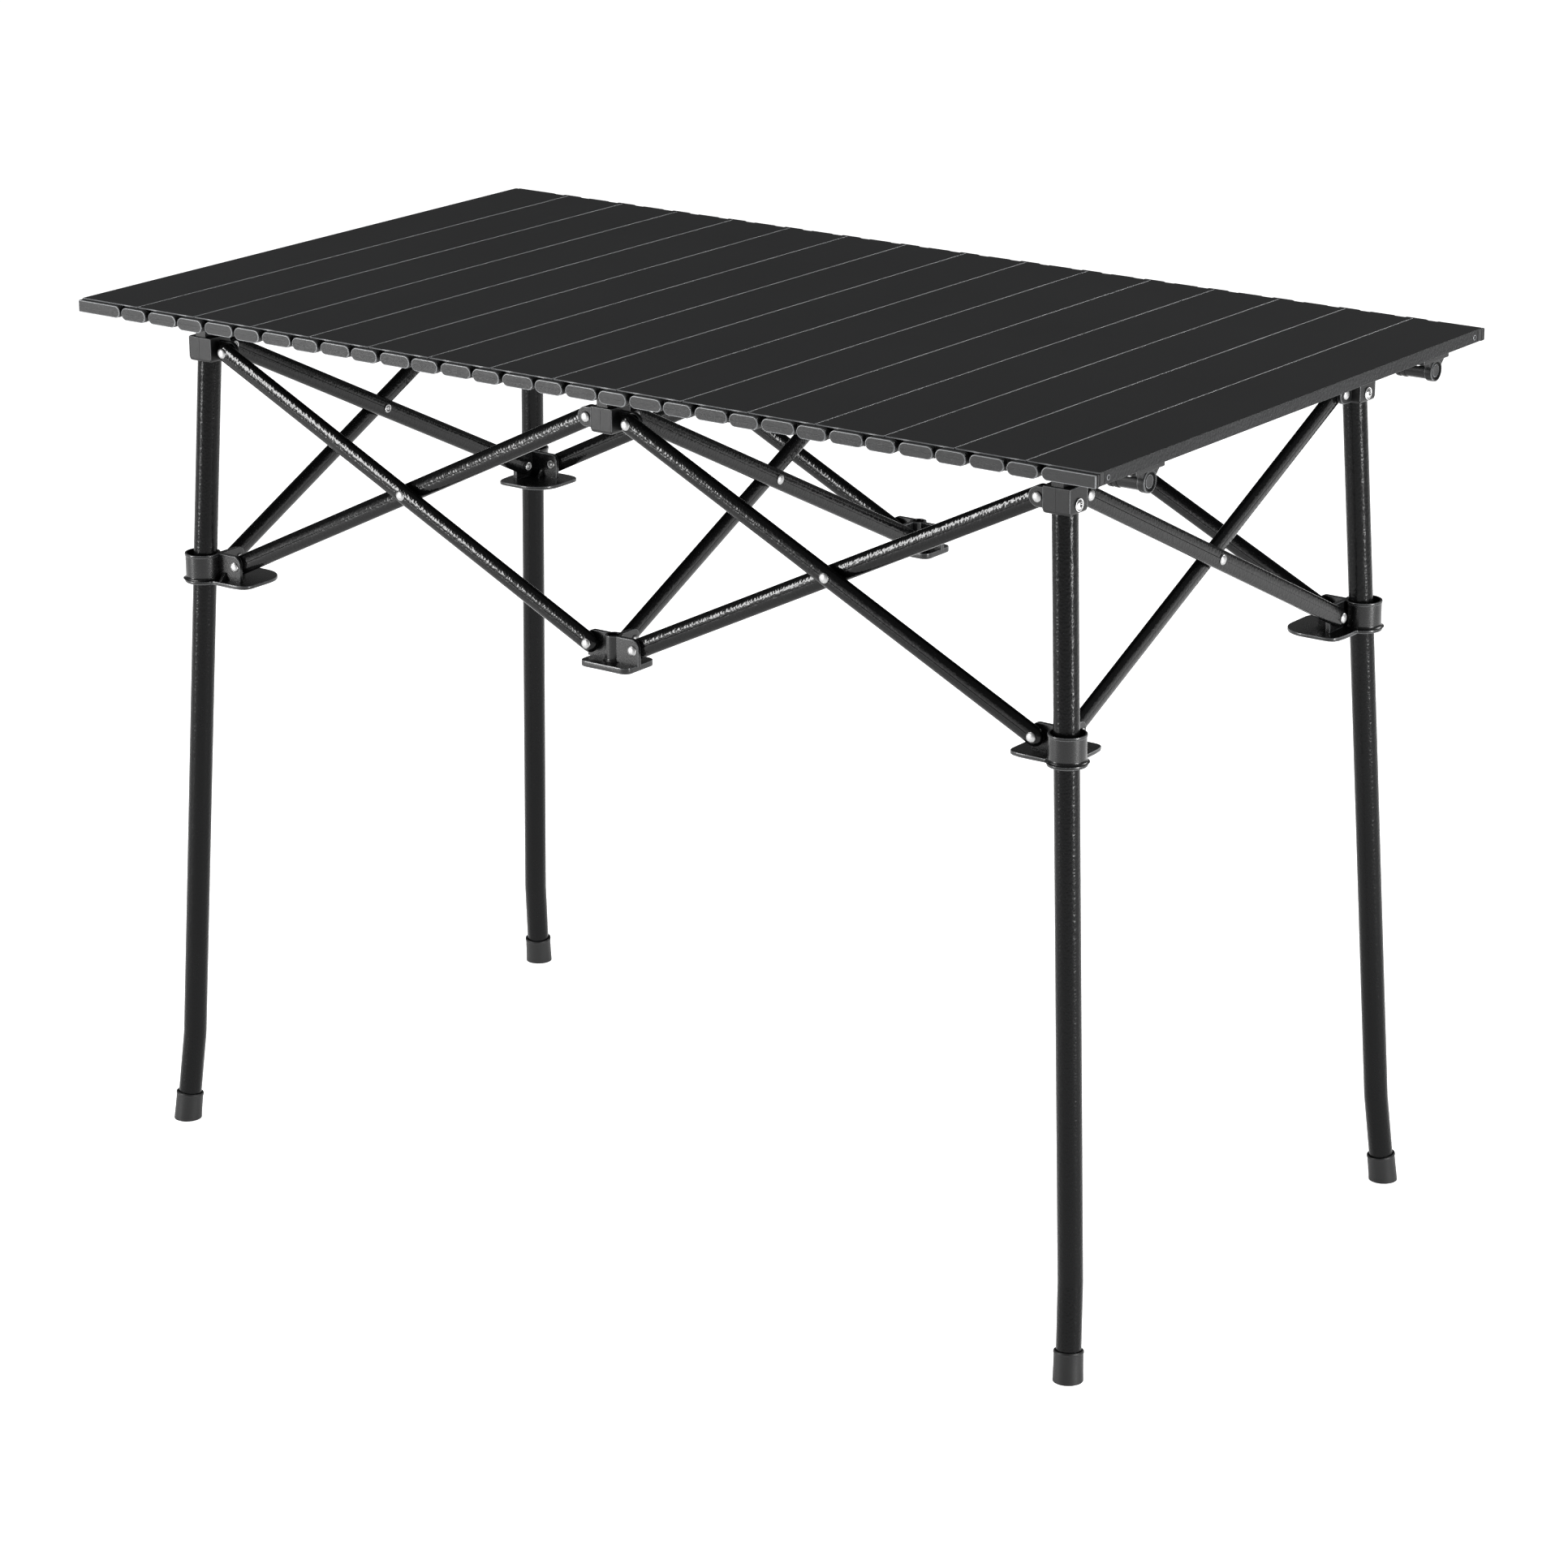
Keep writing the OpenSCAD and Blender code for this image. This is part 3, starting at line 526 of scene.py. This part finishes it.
rings = Piece("rod_ring_brackets", "slat_16", "bracket")
for side in (-1, 1):
    at = move(0, side * HUB_Y, ROD_Z) @ ALONG_X
    mounting_plate(rings, BRACKET_START, BRACKET_END, side)
    rings.tube(7.25, ROD_R + 0.05, RING_COLLARS[0], ROD_END - 4, BRACKET, at, 0.3)
    for start in RING_COLLARS:
        rings.tube(7.9, 7.0, start, start + 3, BRACKET, at, 0.6)
    # the end ring's outer rims carry a painted highlight
    rings.tube(8.5, ROD_R + 0.1, ROD_END - 5.5, ROD_END + 0.8, BRACKET, at, 0.8, 40, HUB_EDGE_HIGHLIGHT)
    # a flared end wall, and the web that joins ring and plate
    upright = move(0, side * HUB_Y, ROD_Z) @ YZ
    flare = [(-13.5, 1.0), (-8.2, -4.2), (8.2, -4.2), (13.5, 1.0), (13.5, 3.0), (-13.5, 3.0)]
    rings.prism([(y, z + 6.8) for y, z in flare], ROD_END - 4.5, ROD_END, BRACKET, upright, 0.4)
    web = [(-2.5, 6.9), (2.5, 6.9), (2.5, 10.0), (-2.5, 10.0)]
    rings.prism(web, WEB_START, ROD_END - 4, BRACKET, upright, 0.3)
rings.put()

screws = Piece("bracket_screws", "slat_16", "screw")
head = [(0.1, 0.0), (3.9, 0.0), (3.9, 0.3), (3.3, 1.5), (2.2, 2.1), (1.2, 2.2), (1.0, 1.5), (0.05, 1.4)]
for side in (-1, 1):
    for x in BRACKET_SCREW_X:
        for s in (-1, 1):
            down = move(x, side * HUB_Y + s * BRACKET_SCREW_Y, BOX_BOTTOM - 3.05) @ turn(180, "X")
            # painted shade: the head's recess is darker metal
            screws.turned(head, SCREW, down @ Matrix.Scale(0.72, 4), 28, mats={5: RECESS_SHADE, 6: RECESS_SHADE})
screws.put()

clips = Piece("rod_clips", "slat_01", "bracket")
for side in (-1, 1):
    at = move(0, side * HUB_Y, 0)
    mounting_plate(clips, -BRACKET_END, -BRACKET_START, side)
    bore, low, high = ROD_R + 0.4, ROD_Z - 4.6, ROD_Z + 8.4
    arc = [(-bore * math.cos(math.pi * k / 16), ROD_Z + bore * math.sin(math.pi * k / 16)) for k in range(17)]
    hoop = [(-bore, low)] + arc + [(bore, low), (9, low), (9, high), (-9, high), (-9, low)]
    clips.prism(hoop[::-1], CLIP_START, CLIP_END, BRACKET, at @ YZ, 0.0)
clips.put()

# ---------------------------------------------------------------- upper hubs


def block(piece, hx, hy, z0, z1, low, high, mat, at, corner=1.1, steps=5):
    """A block with soft upright edges, rounded underneath by low and on top by high."""
    rings = []
    for radius, z, way in ((low, z0, 1), (high, z1, -1)):
        part = []
        for s in range(steps + 1):
            a = math.pi / 2 * s / steps
            part.append((radius * (1 - math.sin(a)), z + way * radius * (1 - math.cos(a))))
        rings += part if way > 0 else part[::-1]
    loops = []
    for d, z in rings:
        outline = rect(-hx + d, -hy + d, hx - d, hy - d, max(corner - d, 0.25), 22)
        loops.append([(x, y, z) for x, y in outline])
    n = len(loops)
    # the rounded top rim is a painted highlight
    piece.shell(loops, mat, at, mats={k: HUB_EDGE_HIGHLIGHT for k in range(n - steps - 1, n - 1)})
    # painted highlight: a light line down each upright edge
    for sx in (-1, 1):
        for sy in (-1, 1):
            line = at @ move(sx * (hx - corner * 0.32), sy * (hy - corner * 0.32), 0)
            piece.turned([(0.05, z0 + low), (0.42, z0 + low + 0.4), (0.42, z1 - high - 0.2), (0.05, z1 - high)],
                         HUB_EDGE_HIGHLIGHT, line, 12)


def upper_hub(place, x, y, half, arms, corner):
    body = "hub_" + place
    piece = Piece("upper_hub_" + place, body, "hub")
    at = move(x, y, 0)
    block(piece, half, HUB_DEEP, HUB_LOW, HUB_TOP, 2.6, 0.6, HUB, at)
    side = 1 if y > 0 else -1
    # parting line of the moulding, on the outward face
    piece.prism(rect(-0.22, HUB_LOW + 2.2, 0.22, HUB_TOP - 0.4, 0.1), 0.0, 0.1, HUB,
                move(x - 0.8, y + side * HUB_DEEP, 0) @ Matrix.Diagonal((1, side, 1, 1)) @ XZ)
    groove = ROD_R + 0.3
    half_angle = math.acos(SADDLE_DEPTH / groove)
    angles = [half_angle - 2 * half_angle * k / 12 for k in range(13)]
    dip = [(groove * math.sin(a), ROD_Z - groove * math.cos(a)) for a in angles]
    foot, rim = HUB_TOP - 0.5, ROD_Z - SADDLE_DEPTH
    neck = [(-SADDLE_HALF, foot), (SADDLE_HALF, foot), (SADDLE_HALF, rim)] + dip + [(-SADDLE_HALF, rim)]
    piece.prism(neck, -5, 5, HUB, at @ YZ, 0.0)
    for arm in arms:
        ear = rounded([(8, UPPER - EAR_R, 0), (PIVOT + EAR_R, UPPER - EAR_R, EAR_R - 0.01),
                       (PIVOT + EAR_R, UPPER + EAR_R, EAR_R - 0.01), (8, UPPER + EAR_R, 0)], 9)
        # the ear's rounded rims carry a painted highlight
        piece.prism(ear, LAYER, LAYER + EAR, HUB, at @ turn(arm, "Z") @ XZ, 0.7, edge=HUB_EDGE_HIGHLIGHT)
    piece.put()
    if corner:
        out = 1 if x > 0 else -1
        screw = Piece("leg_screw_" + place, body, "screw")
        outwards = move(x + out * (HUB_DEEP + 0.05), y, SCREW_Z) @ turn(90 * out, "Y")
        pan_head(screw, outwards)
        screw.turned([(0.1, -6.0), (1.98, -6.0), (1.98, 0.3), (0.1, 0.3)], SCREW, outwards, 24)
        screw.put()


# ---------------------------------------------------------------- collars and lower hubs


def lower_ear(piece, at, x0, z0, mat):
    """An ear on the right of its arm, standing on z0, with its outer top corner rounded."""
    reach, top = PIVOT + 5.5, COLLAR_TOP
    outline = rounded([(x0, z0, 0), (reach, z0, 0), (reach, top, 6.0), (x0, top, 0)], 9)
    # the ear's rounded rims carry a painted highlight
    piece.prism(outline, -LAYER - EAR, -LAYER, mat, at @ XZ, 0.7, edge=COLLAR_EDGE_HIGHLIGHT)


def reach_of(outline, centre, angle):
    """How far the outline reaches from centre in a direction."""
    d, best = Vector((math.cos(angle), math.sin(angle))), 0.0
    for k in range(len(outline)):
        a, b = Vector(outline[k - 1]) - centre, Vector(outline[k]) - centre
        e = b - a
        det = d.x * -e.y + d.y * e.x
        if abs(det) < 1e-9:
            continue
        t = (a.x * -e.y + a.y * e.x) / det
        s = (d.x * a.y - d.y * a.x) / det
        if -1e-6 <= s <= 1 + 1e-6:
            best = max(best, t)
    return best


def holed(piece, outlines, centre, bore, z0, z1, mat, at, rim=0.5, n=144, edge=None):
    """A plate whose outline is the union of outlines seen from centre, with a round hole there."""
    centre = Vector(centre)
    rays = [2 * math.pi * k / n for k in range(n)]
    far = [max(reach_of(o, centre, a) for o in outlines) for a in rays]
    soft = [sum(far[(k + j) % n] * w for j, w in ((-1, 1), (0, 2), (1, 1))) / 4 for k in range(n)]
    loops = []
    for out, d, z in ((1, rim, z0), (1, rim * 0.3, z0 + rim * 0.3), (1, 0, z0 + rim), (1, 0, z1 - rim),
                      (1, rim * 0.3, z1 - rim * 0.3), (1, rim, z1), (0, 0, z1), (0, 0, z0)):
        reach = [(soft[k] - d) if out else bore for k in range(n)]
        loops.append([(centre.x + math.cos(a) * r, centre.y + math.sin(a) * r, z) for a, r in zip(rays, reach)])
    piece.shell(loops, mat, at, loop=True, mats={k: edge for k in (0, 1, 3, 4)} if edge else None)


def arms_of(x, y):
    return [180 if x > 0 else 0, 270 if y > 0 else 90]


def collar(place, x, y):
    piece = Piece("collar_" + place, "collar_" + place, "collar")
    sx, sy = math.copysign(1, x), math.copysign(1, y)
    at = move(x, y, 0)
    cx, cy = COLLAR_SHIFT * math.cos(LEG_AZIMUTH), COLLAR_SHIFT * math.sin(LEG_AZIMUTH)
    plate_at = at @ Matrix.Diagonal((-sx, -sy, 1, 1))
    plate = rounded([(-13, -13, 9), (39.5, -13, 9), (39.5, 39.5, 22), (-13, 39.5, 9)], 8)
    ring = [(-cx + 15 * math.cos(a), -cy + 15 * math.sin(a)) for a in (math.pi * k / 30 for k in range(60))]
    # the plate's rounded rims carry a painted highlight
    holed(piece, [plate, ring], (-cx, -cy), COLLAR_BORE, COLLAR_LOW, COLLAR_PLATE, COLLAR, plate_at, 0.8,
          edge=COLLAR_EDGE_HIGHLIGHT)
    sleeve = at @ move(sx * cx, sy * cy, 0)
    piece.tube(COLLAR_R, COLLAR_BORE, COLLAR_LOW + 1, COLLAR_TOP, COLLAR, sleeve, 0.5, 64)
    # a fillet where the sleeve meets its plate, and a thin band under the sleeve's rim whose rounded rims carry
    # a painted highlight
    fillet = [(13.6, 465.9), (16.2, 465.9), (15.0, 466.5), (14.3, 467.3), (14.0, 468.4), (13.6, 468.4)]
    piece.turned(fillet, COLLAR, sleeve, 64, loop=True)
    piece.tube(COLLAR_R + 0.45, 13.2, 484.6, COLLAR_TOP, COLLAR, sleeve, 0.6, 64, COLLAR_EDGE_HIGHLIGHT)
    for arm in arms_of(x, y):
        along = at @ turn(arm, "Z")
        lower_ear(piece, along, -2, 465.5, COLLAR)
        # a rib that stiffens the ear's foot, on the side away from the bar
        rib = rounded([(0, 465.5, 0), (7.5, 465.5, 0), (5.2, 467.6, 2.5), (0, 474, 1.0)], 12)
        piece.prism(rib, 9, 11.5, COLLAR, along @ turn(-90, "Z") @ move(LAYER + EAR - 0.3, 0, 0) @ XZ, 0.25)
    piece.put()


def lower_hub(place, y):
    piece = Piece("lower_hub_" + place, "lower_" + place, "collar")
    at = move(0, y, 0)
    sy = math.copysign(1, y)
    plate_at = at @ Matrix.Diagonal((1, -sy, 1, 1))
    plate = rounded([(-23.5, -14.5, 6), (23.5, -14.5, 6), (23.5, 21.5, 6), (-23.5, 21.5, 6)], 10)
    # the plate's and the sleeve's rounded rims carry a painted highlight
    holed(piece, [plate], (0, 0), 4.5, 461.5, 466.5, COLLAR, plate_at, 0.9, edge=COLLAR_EDGE_HIGHLIGHT)
    piece.tube(7.0, 4.5, COLLAR_LOW, COLLAR_TOP, COLLAR, at, 0.7, 48, COLLAR_EDGE_HIGHLIGHT)
    fillet = [(6.8, 466.4), (9.0, 466.4), (7.8, 467.0), (7.2, 467.8), (7.0, 468.8), (6.8, 468.8)]
    piece.turned(fillet, COLLAR, at, 48, loop=True)
    piece.turned([(0.02, 6.6), (1.25, 6.6), (1.25, 7.06), (0.02, 7.06)], SEAM,
                 at @ move(0, 0, 479) @ turn(-90 * -sy, "X"), 24)
    for arm in (0, 180, 270 if y > 0 else 90):
        lower_ear(piece, at @ turn(arm, "Z"), 5.0, 466, COLLAR)
    piece.put()


# ---------------------------------------------------------------- legs and feet


def leg_frame(sx, sy):
    return (Matrix.Diagonal((sx, sy, 1, 1)) @ move(HUB_X, HUB_Y, SCREW_Z) @ Matrix.Rotation(LEG_AZIMUTH, 4, "Z")
            @ Matrix.Rotation(-LEG_TILT, 4, "Y"))


def foot_frame(sx, sy):
    return (leg_frame(sx, sy) @ move(0, 0, -LEG_LENGTH) @ Matrix.Rotation(BEND_AZIMUTH, 4, "Z")
            @ Matrix.Rotation(-BEND, 4, "Y"))


def leg_and_foot(place, x, y):
    sx, sy = math.copysign(1, x), math.copysign(1, y)
    body = "leg_" + place
    piece = Piece("leg_" + place, body, "leg")
    tangent = BEND_R * math.tan(BEND / 2)
    # the tube's centre line in the plane of its bend: (outwards, up) and its lean
    line = [(0.0, 8.0, 0.0)] + [(0.0, -LEG_LENGTH * k / 6, 0.0) for k in range(1, 6)]
    line += [(0.0, -LEG_LENGTH + tangent, 0.0)]
    for k in range(1, 9):
        a = BEND * k / 8
        line.append((BEND_R * (1 - math.cos(a)), -LEG_LENGTH + tangent - BEND_R * math.sin(a), a))
    down = FOOT_LENGTH - 4
    line.append((down * math.sin(BEND), -LEG_LENGTH - down * math.cos(BEND), BEND))
    seg = 48
    round_it = [2 * math.pi * k / seg for k in range(seg)]
    outer, inner = [[[(u + r * math.cos(t) * math.cos(a), r * math.sin(t), w + r * math.cos(t) * math.sin(a))
                      for t in round_it] for u, w, a in line] for r in (LEG_R, LEG_R - LEG_WALL)]
    piece.shell(outer + inner[::-1], LEG, leg_frame(sx, sy) @ Matrix.Rotation(BEND_AZIMUTH, 4, "Z"), loop=True)
    piece.put()
    foot = Piece("foot_" + place, body, "foot")
    low = -FOOT_LENGTH
    profile = [(0.1, low - 5.8), (9.6, low - 5.8), (10.6, low - 5.2), (11.25, low - 3.8), (11.4, low - 1.0),
               (11.3, low + 4), (11.15, low + 12), (11.05, low + 20.4), (11.3, low + 20.9), (11.45, low + 21.4),
               (11.35, low + 22.4), (10.9, low + 23.0), (9.9, low + 23.0), (9.56, low + 22.6),
               (9.55, low + 4.0),
               (0.1, low + 4.0)]
    at = foot_frame(sx, sy)
    foot.turned(profile, RUBBER, at, 48)
    axis = (at.to_3x3() @ Vector((0, 0, 1))).normalized()
    for v in foot.bm.verts:
        if v.co.z < 0:
            v.co += axis * (-v.co.z / axis.z)
    foot.put()


# ---------------------------------------------------------------- scissor bars


def pin(piece, spot, low, high):
    """A rivet's shank, from low to high along the bar's thickness."""
    piece.turned([(0.1, low), (PIN_R, low), (PIN_R, high), (0.1, high)], RIVET, spot @ turn(-90, "X"), 24)


def bar(node, x, y, azimuth, outer):
    piece = Piece(node, node, "bar")
    at = (move(x, y, 0) @ turn(azimuth, "Z") @ move(PIVOT, 0, UPPER) @ Matrix.Rotation(BAR_ANGLE, 4, "Y")
          @ Matrix.Diagonal((1, -1, 1, 1)))
    slot = rect(-BAR_HALF, -BAR_HALF, BAR_LENGTH + BAR_HALF, BAR_HALF, BAR_HALF - 1e-3, 7)
    # the tube's section is a crowned oval
    loops = []
    for k in range(25):
        phi = math.radians(-84 + 7 * k)
        up = abs(math.cos(phi)) ** (2 / CROWN)
        out = math.copysign(abs(math.sin(phi)) ** (2 / CROWN), phi)
        middle = LAYER + BAR_THICK / 2
        loops.append([(u, v, middle + out * BAR_THICK / 2) for u, v in inset(slot, BAR_HALF * (1 - up) + 1e-4)])
    piece.shell(loops, BAR, at @ XZ)
    bar_side, ear_side = LAYER + BAR_THICK, LAYER + EAR
    for reach in (0.0, BAR_LENGTH):
        near, far = (bar_side, -ear_side) if outer else (-ear_side, bar_side)
        spot = at @ move(reach, 0, 0)
        dome(piece, spot @ move(0, near, 0) @ turn(-90 if near > 0 else 90, "X"))
        tail(piece, spot @ move(0, far, 0) @ turn(-90 if far > 0 else 90, "X"))
        pin(piece, spot, -ear_side, bar_side)
    if outer:
        spot = at @ move(BAR_LENGTH / 2, 0, 0)
        dome(piece, spot @ move(0, bar_side, 0) @ turn(-90, "X"))
        tail(piece, spot @ move(0, -bar_side, 0) @ turn(90, "X"))
        pin(piece, spot, -bar_side, bar_side)
    piece.put()


for place, x, y in (("front_left", -HUB_X, -HUB_Y), ("front_right", HUB_X, -HUB_Y),
                    ("back_left", -HUB_X, HUB_Y),
                    ("back_right", HUB_X, HUB_Y)):
    upper_hub(place, x, y, HUB_DEEP, arms_of(x, y), True)
    collar(place, x, y)
    leg_and_foot(place, x, y)
for place, y in (("front_mid", -HUB_Y), ("back_mid", HUB_Y)):
    upper_hub(place, 0.0, y, MID_HUB_HALF, [0, 180, 270 if y > 0 else 90], False)
    lower_hub(place, y)

L, R, F, B = -HUB_X, HUB_X, -HUB_Y, HUB_Y
for name, x, y, azimuth in (
        ("front_left_outer", L, F, 0), ("front_left_inner", 0, F, 180), ("front_right_outer", 0, F, 0),
        ("front_right_inner", R, F, 180), ("back_left_outer", 0, B, 180), ("back_left_inner", L, B, 0),
        ("back_right_outer", R, B, 180), ("back_right_inner", 0, B, 0), ("left_outer", L, B, 270),
        ("left_inner", L, F, 90), ("mid_outer", 0, F, 90), ("mid_inner", 0, B, 270), ("right_outer", R, F, 90),
        ("right_inner", R, B, 270)):
    bar("bar_" + name, x, y, azimuth, name.endswith("outer"))

# ---------------------------------------------------------------- floor, light and camera


def floor():
    mesh = bpy.data.meshes.new("floor")
    half = 60.0
    corners = [(-half, -half, 0), (half, -half, 0), (half, half, 0), (-half, half, 0)]
    mesh.from_pydata(corners, [], [(0, 1, 2, 3)])
    obj = bpy.data.objects.new("floor", mesh)
    bpy.context.scene.collection.objects.link(obj)
    mat, tree, shader, coords = nodes_of("pale_floor", (0.9, 0.9, 0.9), 0.8, specular=0.1)
    tint(tree, shader, noise(tree, coords, 2.0), (0.89, 0.89, 0.89), (0.91, 0.91, 0.91))
    shader.inputs["Emission Color"].default_value = (1, 1, 1, 1)
    shader.inputs["Emission Strength"].default_value = 0.86
    mesh.materials.append(mat)
    obj.location.z = -0.0002


floor()


def softbox(name, where, aim, size, watts, size_y=None):
    light = bpy.data.lights.new(name, "AREA")
    light.energy = watts
    light.shape = "RECTANGLE"
    light.size, light.size_y = size, size_y or size
    obj = bpy.data.objects.new(name, light)
    obj.location = where
    obj.rotation_euler = (Vector(aim) - Vector(where)).to_track_quat("-Z", "Y").to_euler()
    bpy.context.scene.collection.objects.link(obj)


def around(azimuth, elevation, distance):
    """A point seen from the table at that azimuth, 0 at the front and 90 at the right, and elevation."""
    a, e = math.radians(azimuth), math.radians(elevation)
    flat = distance * math.cos(e)
    return (flat * math.sin(a), -flat * math.cos(a), 0.4 + distance * math.sin(e))


AT = (0, 0, 0.45)
softbox("left_strip", around(-36, 5, 3.2), AT, 0.4, 75, 1.4)
softbox("right_strip", around(88, 5, 3.2), AT, 0.4, 115, 1.4)
softbox("high_left", around(-60, 50, 3.5), AT, 1.2, 60)
softbox("back_right", around(152, 32, 3.6), AT, 1.1, 55, 0.8)

world = bpy.data.worlds.new("studio")
bpy.context.scene.world = world
world.use_nodes = True
background = world.node_tree.nodes["Background"]
background.inputs["Color"].default_value = (1.0, 1.0, 1.0, 1)
background.inputs["Strength"].default_value = 0.16
bpy.context.scene.view_settings.view_transform = "Standard"

camera = bpy.data.objects.new("camera", bpy.data.cameras.new("camera"))
bpy.context.scene.collection.objects.link(camera)
bpy.context.scene.camera = camera
AZIMUTH, ELEVATION, ROLL = math.radians(36.328), math.radians(18.226), math.radians(-0.258)
AIM, DISTANCE = Vector((-0.0067, 0.0235, 0.3058)), 3.8886
SENSOR, LENS = 36.0, 110.935
back = Vector((math.sin(AZIMUTH) * math.cos(ELEVATION), -math.cos(AZIMUTH) * math.cos(ELEVATION),
               math.sin(ELEVATION)))
camera.location = AIM + back * DISTANCE
camera.rotation_mode = "QUATERNION"
camera.rotation_quaternion = (-back).to_track_quat("-Z", "Y") @ Matrix.Rotation(ROLL, 3, "Z").to_quaternion()
camera.data.sensor_width, camera.data.lens = SENSOR, LENS
camera.data.clip_start, camera.data.clip_end = 0.1, 200.0
